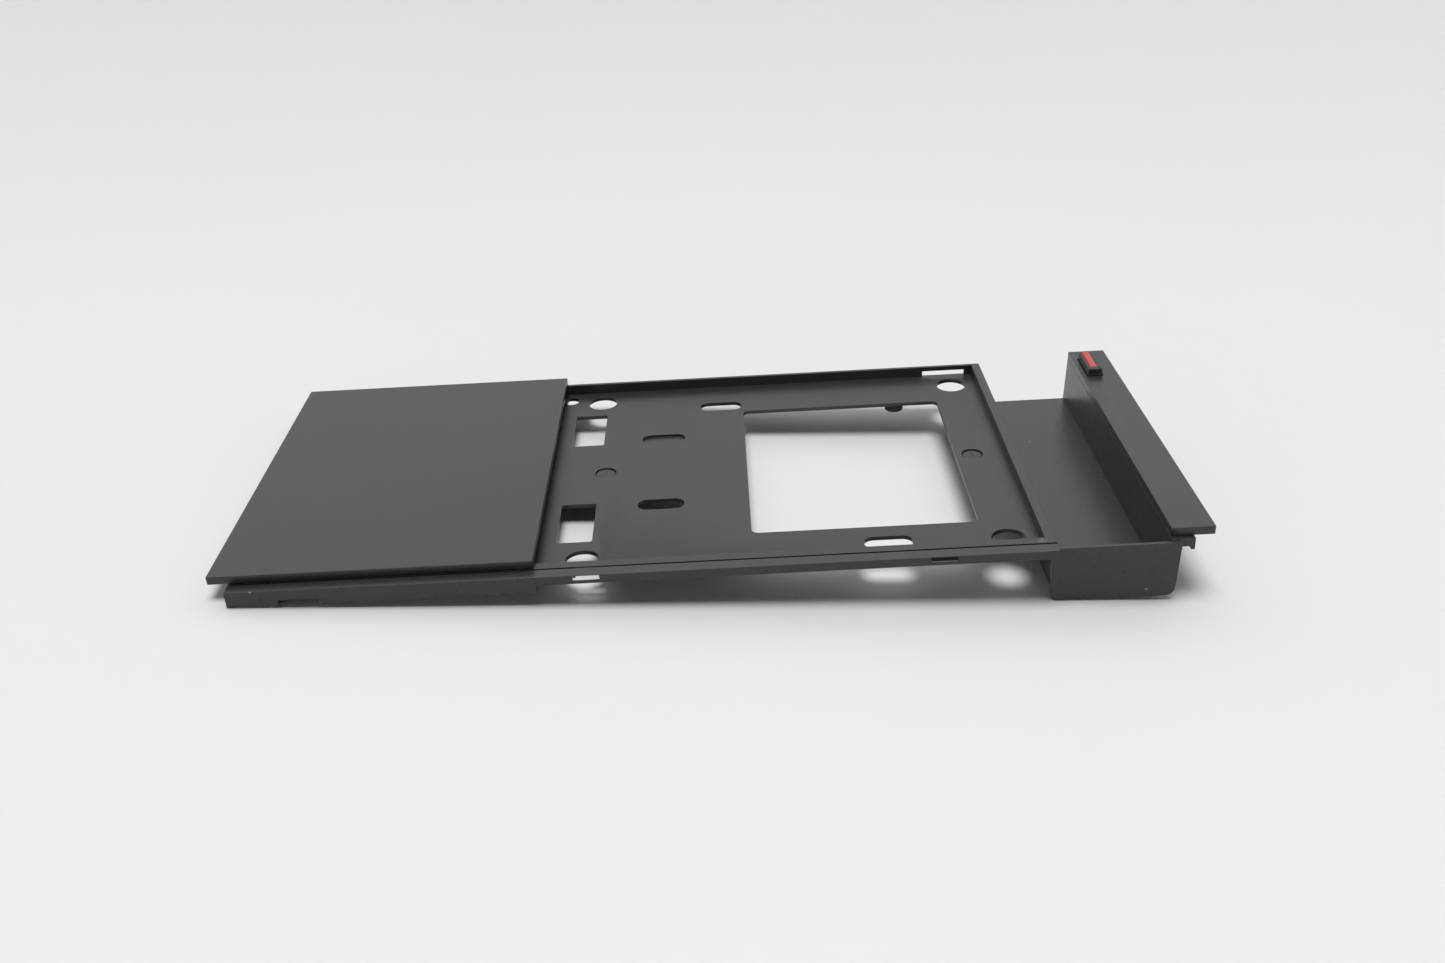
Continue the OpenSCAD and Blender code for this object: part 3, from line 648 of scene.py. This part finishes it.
def bumper_rubber():
    """The dull rubber of the bumpers."""
    f = finish()
    return moulded_plastic("bumper_rubber", (0.014, 0.014, 0.014), 0.72, 0.05, f.grain_depth * 1.5,
                           f.grain_size * 0.6, dust=0.3, edge_highlight=0.2)


def screw_metal(name, colour, metallic, roughness):
    """Turned metal: fine pits, and slow drifts of tone and gloss."""
    if name in bpy.data.materials:
        return bpy.data.materials[name]
    material, tree, shader = new_material(name)
    skin = group_node(tree, moulded_texture())
    skin.inputs["Cell Size"].default_value = 0.12 * MM
    c = np.array(colour)
    tone = colour_mix(tree, c * 0.82, np.minimum(c * 1.1, 1.0))
    rough = map_range(tree, 0.25, 0.75, roughness - 0.06, roughness + 0.08)
    bump = tree.nodes.new("ShaderNodeBump")
    bump.inputs["Distance"].default_value = 0.004 * MM
    tree.links.new(skin.outputs["Gloss"], tone.inputs["Factor"])
    tree.links.new(tone.outputs["Result"], shader.inputs["Base Color"])
    tree.links.new(skin.outputs["Height"], rough.inputs["Value"])
    tree.links.new(rough.outputs["Result"], shader.inputs["Roughness"])
    tree.links.new(skin.outputs["Height"], bump.inputs["Height"])
    tree.links.new(bump.outputs["Normal"], shader.inputs["Normal"])
    shader.inputs["Metallic"].default_value = metallic
    return material


def plated_steel():
    """Bright plated screws, springs and pin."""
    return screw_metal("plated_steel", (0.56, 0.56, 0.57), 1.0, 0.3)


def black_steel():
    """Blackened tray screws."""
    return screw_metal("black_steel", (0.045, 0.045, 0.048), 0.0, 0.36)


# ---------------------------------------------------------------- pieces

class CARRIER_OT_base_frame(bpy.types.Operator):
    """Builds the base moulding: the box under the cover and the near rail"""

    bl_idname = "carrier.base_frame"
    bl_label = "Base Frame"

    def execute(self, context):
        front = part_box("base_frame")[0].y
        on_front = {round(v.co.x, 5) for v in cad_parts["base_frame"].data.vertices
                    if abs(v.co.y - front) < 1e-5}
        piece = eased("base_moulding", "base_frame", shape().thin_edge,
                      strips=sorted(on_front)[1:-1])
        settle(piece, "holder", "black_plastic", mould_black(), "base_frame")
        return {"FINISHED"}


class CARRIER_OT_tray(bpy.types.Operator):
    """Builds the tray: pierced bay floor, rims and cross bar"""

    bl_idname = "carrier.tray"
    bl_label = "Tray"

    def execute(self, context):
        piece = eased("tray_moulding", "tray", shape().thin_edge)
        settle(piece, "holder", "tray_plastic", tray_black(), "tray")
        return {"FINISHED"}


class CARRIER_OT_cable_trough(bpy.types.Operator):
    """Builds the cable trough with its closed near end and end ledge"""

    bl_idname = "carrier.cable_trough"
    bl_label = "Cable Trough"

    def execute(self, context):
        piece = eased("trough_moulding", "cable_trough", shape().thin_edge * 0.5,
                      limit=SQUARE_TURN, merge=0.1 * MM)
        settle(piece, "holder", "black_plastic", mould_black(), "cable_trough")
        return {"FINISHED"}


class CARRIER_OT_cover_plate(bpy.types.Operator):
    """Builds the sliding cover plate as a slab with fine quarter-round edges"""

    bl_idname = "carrier.cover_plate"
    bl_label = "Cover Plate"

    def execute(self, context):
        lo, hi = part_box("cover_plate")
        s = shape()
        rings = slab_rings(lo, hi, s.plate_corner, round_profile(lo.z, hi.z, s.plate_edge))
        piece = sharpen(link_mesh("cover_panel", *join_rings([rings])), 20.0)
        settle(piece, "cover", "plate_plastic", plate_satin(), "cover_plate")
        return {"FINISHED"}


class CARRIER_OT_cover_runners(bpy.types.Operator):
    """Builds the two runners that keep the cover plate on the base"""

    bl_idname = "carrier.cover_runners"
    bl_label = "Cover Runners"

    def execute(self, context):
        piece = eased("cover_glides", "cover_runners", shape().mould_edge)
        settle(piece, "cover", "glide_plastic", glide_grey(), "cover_runners")
        return {"FINISHED"}


class CARRIER_OT_rail_cap(bpy.types.Operator):
    """Builds the cap strip along the right end, with the well for the button"""

    bl_idname = "carrier.rail_cap"
    bl_label = "Cap Strip"

    def execute(self, context):
        piece = eased("cap_strip", "rail_cap", shape().plate_edge)
        settle(piece, "holder", "plate_plastic", plate_satin(), "rail_cap")
        return {"FINISHED"}


class CARRIER_OT_release_button(bpy.types.Operator):
    """Builds the button with its flared foot, and the fork under it"""

    bl_idname = "carrier.release_button"
    bl_label = "Release Button"

    def execute(self, context):
        s = shape()
        lo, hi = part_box("release_button")
        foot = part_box("rail_cap")[1].z
        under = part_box("button_springs")[1].z
        top = hi.z - 0.08 * MM
        ease, flare_rise = 0.45 * MM, 0.8 * MM
        turn = np.linspace(0.0, math.pi / 2, 6)
        flare = np.stack([s.button_flare * (1 - np.cos(turn)), foot + flare_rise * np.sin(turn)], -1)
        crown = np.stack([s.button_flare + ease * (1 - np.cos(turn)),
                          top - ease + ease * np.sin(turn)], -1)
        profile = np.vstack([[[0.1 * MM, under], [0.0, under + 0.1 * MM]], flare, crown])
        cap = slab_rings(lo, hi, s.button_corner, profile)
        pin_lo, pin_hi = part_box("drive_pin")
        middle = (pin_lo + pin_hi) / 2
        leg_out = (pin_hi.y - pin_lo.y) / 2
        leg_in = leg_out - 2.6 * MM
        legs = []
        for side in (-1, 1):
            y0, y1 = sorted((middle.y + side * leg_in, middle.y + side * leg_out))
            a = Vector((middle.x - 1.4 * MM, y0, lo.z))
            b = Vector((middle.x + 1.4 * MM, y1, under + 0.2 * MM))
            legs.append(slab_rings(a, b, 0.4 * MM, round_profile(a.z, b.z, 0.2 * MM)))
        piece = sharpen(link_mesh("button_cap", *join_rings([cap, *legs])), 32.0)
        settle(piece, "button", "button_plastic", button_black(), "release_button")
        return {"FINISHED"}


class CARRIER_OT_button_stripe(bpy.types.Operator):
    """Builds the coloured inlay on the button"""

    bl_idname = "carrier.button_stripe"
    bl_label = "Button Stripe"

    def execute(self, context):
        lo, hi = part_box("button_stripe")
        rings = slab_rings(lo, hi, 0.35 * MM, round_profile(lo.z, hi.z, 0.07 * MM))
        piece = sharpen(link_mesh("button_inlay", *join_rings([rings])), 32.0)
        settle(piece, "button", "stripe", stripe_red(), "button_stripe")
        return {"FINISHED"}


class CARRIER_OT_latch(bpy.types.Operator):
    """Builds the bolt, its housing and the drive pin"""

    bl_idname = "carrier.latch"
    bl_label = "Latch"

    def execute(self, context):
        s = shape()
        housing = eased("latch_cage", "latch_housing", s.mould_edge * 0.7)
        settle(housing, "holder", "black_plastic", mould_black(), "latch_housing")
        bolt = eased("latch_slider", "latch_bolt", s.mould_edge * 0.7)
        settle(bolt, "bolt", "glide_plastic", glide_grey(), "latch_bolt")
        lo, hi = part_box("drive_pin")
        r, c = (hi.z - lo.z) / 2, 0.15 * MM
        length = hi.y - lo.y
        rings = lathe([(r - c, 0), (r, c), (r, length - c), (r - c, length)], 28)
        # Turned from Z to Y: (x, y, z) goes to (y, z, x)
        rings = rings[..., [1, 2, 0]] + np.array([(lo.x + hi.x) / 2, lo.y, (lo.z + hi.z) / 2])
        pin = sharpen(link_mesh("fork_pin", *join_rings([rings])))
        settle(pin, "button", "steel", plated_steel(), "drive_pin")
        return {"FINISHED"}


class CARRIER_OT_button_springs(bpy.types.Operator):
    """Builds the two coil springs under the button"""

    bl_idname = "carrier.button_springs"
    bl_label = "Button Springs"

    def execute(self, context):
        s = shape()
        tubes = [self.coil(lo, hi, s.wire_size, s.wire_turns)
                 for lo, hi in solid_boxes("button_springs")]
        piece = link_mesh("button_coils", *join_rings(tubes))
        settle(piece, "holder", "steel", plated_steel(), "button_springs")
        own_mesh(piece)
        return {"FINISHED"}

    @staticmethod
    def coil(lo, hi, wire, turns):
        """A round wire carried along a helix whose pitch eases to nothing at both ends.

        The path is (R cos a, R sin a, z), and the wire's own circle lies in the plane of the
        outward direction and the Z axis.
        """
        centre = (lo + hi) / 2
        radius = (hi[0] - lo[0]) / 2 - wire / 2
        t = np.linspace(0.0, 1.0, turns * 24 + 1)
        a = 2 * math.pi * turns * t
        lift = np.clip((t * turns - 0.9) / (turns - 1.8), 0.0, 1.0)
        rise, fall = np.clip(t * turns, 0, 0.9), np.clip((1 - t) * turns, 0, 0.9)
        ends = wire * 0.9 * (rise - fall) / 0.9 / 2
        span = hi[2] - lo[2] - wire * 1.9
        z = lo[2] + wire * 0.95 + span * lift + ends
        b = np.arange(10) * 2 * math.pi / 10
        reach = radius + wire / 2 * np.cos(b)
        x = centre[0] + reach[None] * np.cos(a)[:, None]
        y = centre[1] + reach[None] * np.sin(a)[:, None]
        up = z[:, None] + wire / 2 * np.sin(b)[None]
        return np.dstack([x, y, np.clip(up, lo[2], hi[2])])[:, ::-1]


class CARRIER_OT_screws(bpy.types.Operator):
    """Builds every screw, with its crowned head, cross recess and thread"""

    bl_idname = "carrier.screws"
    bl_label = "Screws"

    GROUPS = (
        ("runner_fasteners", "runner_screws", "cover", "steel", 2.5, 1.5, False),
        ("cap_fasteners", "cap_screws", "holder", "steel", 2.5, 1.5, False),
        ("housing_fasteners", "housing_screws", "holder", "steel", 2.5, 1.5, False),
        ("trough_fasteners", "trough_screws", "holder", "steel", 2.5, 1.5, False),
        ("tray_fasteners", "tray_screws", "holder", "black_steel", 3.0, 0.8, True),
    )

    def execute(self, context):
        for name, node, body, slot, thread, head, down in self.GROUPS:
            stacks = [self.screw(lo, hi, thread * MM, head * MM, down)
                      for lo, hi in solid_boxes(node)]
            piece = sharpen(link_mesh(name, *join_rings(stacks)), 40.0)
            metal = black_steel() if slot == "black_steel" else plated_steel()
            settle(piece, body, slot, metal, node)
        return {"FINISHED"}

    @staticmethod
    def screw(lo, hi, thread, head, down):
        """A screw turned about its axis, head first.

        Row s gives a radius and a height. On the head's face the height is sunk by a cross mask,
        max over two directions of a narrow bell, and on the shank the radius follows
        thread/2 - depth * triangle(height / pitch - angle / turn).
        """
        steps = 48
        t = np.arange(steps) * 2 * math.pi / steps
        big = (hi[0] - lo[0]) / 2
        length = hi[2] - lo[2]
        r_face = np.linspace(0.02, 0.86, 22) * big
        crown = head * 0.22 * (r_face / big) ** 2
        edge = np.linspace(0.0, math.pi / 2, 5)[1:]
        r_edge = big * 0.86 + big * 0.14 * np.sin(edge)
        z_edge = crown[-1] + (head * 0.45) * (1 - np.cos(edge))
        z_shank = np.arange(head, length - 0.6 * MM, shape().thread_pitch / 8)
        r = np.concatenate([r_face, r_edge, [big, thread / 2], np.full(len(z_shank), thread / 2),
                            [thread * 0.3, thread * 0.12]])
        z = np.concatenate([crown, z_edge, [head, head], z_shank, [length - 0.15 * MM, length]])
        r2 = np.repeat(r[:, None], steps, 1)
        z2 = np.repeat(z[:, None], steps, 1)
        x, y = r2 * np.cos(t), r2 * np.sin(t)
        arm, reach = big * 0.11, big * 0.5
        bar = lambda u, v: 1 / (1 + (u / arm) ** 8) / (1 + (v / reach) ** 8)
        face = (np.arange(len(r)) < len(r_face))[:, None]
        z2 = z2 + np.where(face, head * 0.5 * np.maximum(bar(x, y), bar(y, x)), 0.0)
        ramp = np.abs(((z2 / shape().thread_pitch - t / (2 * math.pi)) % 1.0) - 0.5) * 2
        on_shank = (np.arange(len(r)) >= len(r_face) + len(r_edge) + 2)[:, None]
        cut = np.where(on_shank, 0.28 * MM * ramp, 0.0) * (r2 > thread * 0.4)
        x, y = (r2 - cut) * np.cos(t), (r2 - cut) * np.sin(t)
        centre = (lo + hi) / 2
        if down:
            return np.dstack([centre[0] + x, centre[1] - y, hi[2] - z2])
        return np.dstack([centre[0] + x, centre[1] + y, lo[2] + z2])


class CARRIER_OT_rubber_bumpers(bpy.types.Operator):
    """Builds the round rubber bumpers under the tray"""

    bl_idname = "carrier.rubber_bumpers"
    bl_label = "Rubber Bumpers"

    def execute(self, context):
        stacks = []
        for lo, hi in solid_boxes("rubber_bumpers"):
            r, h = (hi[0] - lo[0]) / 2, hi[2] - lo[2]
            ease = 0.9 * MM
            a = np.linspace(0.0, math.pi / 2, 6)
            dimple = [(r * 0.02, 0.35 * MM), (r * 0.3, 0.3 * MM), (r * 0.5, 0.05 * MM),
                      (r * 0.6, 0.0)]
            shoulder = list(zip(r - ease * (1 - np.sin(a)), ease * (1 - np.cos(a))))
            rings = lathe([*dimple, *shoulder, (r, h - 0.1 * MM), (r - 0.1 * MM, h)], 48)
            stacks.append(rings + np.array([(lo[0] + hi[0]) / 2, (lo[1] + hi[1]) / 2, lo[2]]))
        piece = sharpen(link_mesh("bumper_pads", *join_rings(stacks)), 50.0)
        settle(piece, "holder", "rubber", bumper_rubber(), "rubber_bumpers")
        return {"FINISHED"}


# ---------------------------------------------------------------- stage

class CARRIER_OT_stage(bpy.types.Operator):
    """Sets the pale table, the soft light and the camera"""

    bl_idname = "carrier.stage"
    bl_label = "Stage"

    def execute(self, context):
        self.table()
        self.light()
        self.camera()
        return {"FINISHED"}

    @staticmethod
    def table():
        """The table: a round sheet that meets the two lowest edges, and sweeps up all round.

        In polar steps (q, t) the radius is q on the flat, then flat + r sin a on the sweep, where
        the height is r - r cos a. The sheet leans about Y, so that it passes under the base's left
        edge and the trough's left corner.
        """
        skirt_below_plate, corner_round = 7.9 * MM, 1.5 * MM
        base_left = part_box("base_frame")[0].x
        base_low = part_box("cover_plate")[0].z - skirt_below_plate
        trough_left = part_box("tray")[1].x + corner_round
        lean = (base_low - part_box("cable_trough")[0].z) / (trough_left - base_left)
        flat, bend = 0.56, 1.0
        a = np.linspace(0.0, math.radians(62), 31)
        q = np.concatenate([[0.05, 0.25, 0.45], flat + bend * np.sin(a)])
        h = np.concatenate([[0.0, 0.0, 0.0], bend * (1 - np.cos(a))])
        t = np.arange(96) * 2 * math.pi / 96
        x = q[:, None] * np.cos(t)
        y = q[:, None] * np.sin(t) - 0.1
        z = h[:, None] + base_low - (x - base_left) * lean
        around = len(t)
        faces = loft_faces(len(q), around, capped=False)
        faces.append(np.arange(around)[::-1].tolist())
        top = link_mesh("table_top", np.dstack([x, y, z]), [f[::-1] for f in faces])
        material, tree, shader = new_material("table_white")
        place = tree.nodes.new("ShaderNodeTexCoord")
        mottle = add(tree, "ShaderNodeTexNoise", Scale=3.0, Detail=4.0)
        c = np.array(stage().table_colour)
        mix = colour_mix(tree, c * 0.985, np.minimum(c * 1.01, 1.0))
        tree.links.new(place.outputs["Object"], mottle.inputs["Vector"])
        tree.links.new(mottle.outputs["Fac"], mix.inputs["Factor"])
        tree.links.new(mix.outputs["Result"], shader.inputs["Base Color"])
        shader.inputs["Roughness"].default_value = 0.6
        top.data.materials.append(material)

    @staticmethod
    def light():
        """A softbox straight overhead, and a room pale behind the table and dim before it."""
        s = stage()
        world = bpy.data.worlds.new("Soft room")
        world.use_nodes = True
        tree = world.node_tree
        sky = tree.nodes["Background"]
        sky.inputs["Color"].default_value = (1.0, 0.995, 1.0, 1.0)
        ray = tree.nodes.new("ShaderNodeTexCoord")
        split = tree.nodes.new("ShaderNodeSeparateXYZ")
        blend = map_range(tree, -0.1, 0.75, s.room_light, s.wall_light)
        blend.interpolation_type = "SMOOTHSTEP"
        tree.links.new(ray.outputs["Generated"], split.inputs["Vector"])
        tree.links.new(split.outputs["Y"], blend.inputs["Value"])
        tree.links.new(blend.outputs["Result"], sky.inputs["Strength"])
        bpy.context.scene.world = world
        box = bpy.data.lights.new("Softbox", "SUN")
        box.energy = s.overhead
        box.angle = s.overhead_spread
        holder = bpy.data.objects.new("Softbox", box)
        bpy.context.scene.collection.objects.link(holder)
        bpy.context.scene.view_settings.view_transform = "Standard"

    @staticmethod
    def camera():
        """A camera from its place, its pan, its downward tilt and its roll."""
        s = stage()
        data = bpy.data.cameras.new("View")
        data.lens = s.lens
        data.sensor_width = 36.0
        data.clip_start, data.clip_end = 0.01, 50.0
        data.dof.use_dof = False
        p, w, r = s.camera_down, s.camera_pan, s.camera_roll
        ahead = Vector((math.sin(w) * math.cos(p), math.cos(w) * math.cos(p), -math.sin(p)))
        level = Vector((math.cos(w), -math.sin(w), 0.0))
        above = level.cross(ahead)
        right = math.cos(r) * level + math.sin(r) * above
        up = -math.sin(r) * level + math.cos(r) * above
        camera = bpy.data.objects.new("View", data)
        bpy.context.scene.collection.objects.link(camera)
        turn = Matrix((right, up, -ahead)).transposed().to_4x4()
        camera.matrix_world = Matrix.Translation(Vector(s.camera_place)) @ turn
        bpy.context.scene.camera = camera


OPERATORS = (
    CARRIER_OT_base_frame,
    CARRIER_OT_tray,
    CARRIER_OT_cable_trough,
    CARRIER_OT_cover_plate,
    CARRIER_OT_cover_runners,
    CARRIER_OT_rail_cap,
    CARRIER_OT_release_button,
    CARRIER_OT_button_stripe,
    CARRIER_OT_latch,
    CARRIER_OT_button_springs,
    CARRIER_OT_screws,
    CARRIER_OT_rubber_bumpers,
    CARRIER_OT_stage,
)


class CARRIER_PT_panel(bpy.types.Panel):
    """Lists the carrier's pieces and settings"""

    bl_idname = "CARRIER_PT_panel"
    bl_label = "Desk Computer Carrier"
    bl_space_type = "VIEW_3D"
    bl_region_type = "UI"
    bl_category = "Carrier"

    def draw(self, context):
        column = self.layout.column(align=True)
        for operator in OPERATORS:
            column.operator(operator.bl_idname)
        for settings in (shape(), finish(), stage()):
            box = self.layout.box()
            for name in settings.__annotations__:
                box.prop(settings, name)


CLASSES = (CarrierShape, CarrierFinish, CarrierStage, *OPERATORS, CARRIER_PT_panel)


def register():
    for cls in CLASSES:
        bpy.utils.register_class(cls)
    bpy.types.Scene.carrier_shape = PointerProperty(type=CarrierShape)
    bpy.types.Scene.carrier_finish = PointerProperty(type=CarrierFinish)
    bpy.types.Scene.carrier_stage = PointerProperty(type=CarrierStage)


def unregister():
    del bpy.types.Scene.carrier_stage
    del bpy.types.Scene.carrier_finish
    del bpy.types.Scene.carrier_shape
    for cls in reversed(CLASSES):
        bpy.utils.unregister_class(cls)


def main():
    """Registers the classes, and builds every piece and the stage."""
    register()
    for operator in OPERATORS:
        family, name = operator.bl_idname.split(".")
        getattr(getattr(bpy.ops, family), name)()


if __name__ == "__main__":
    main()
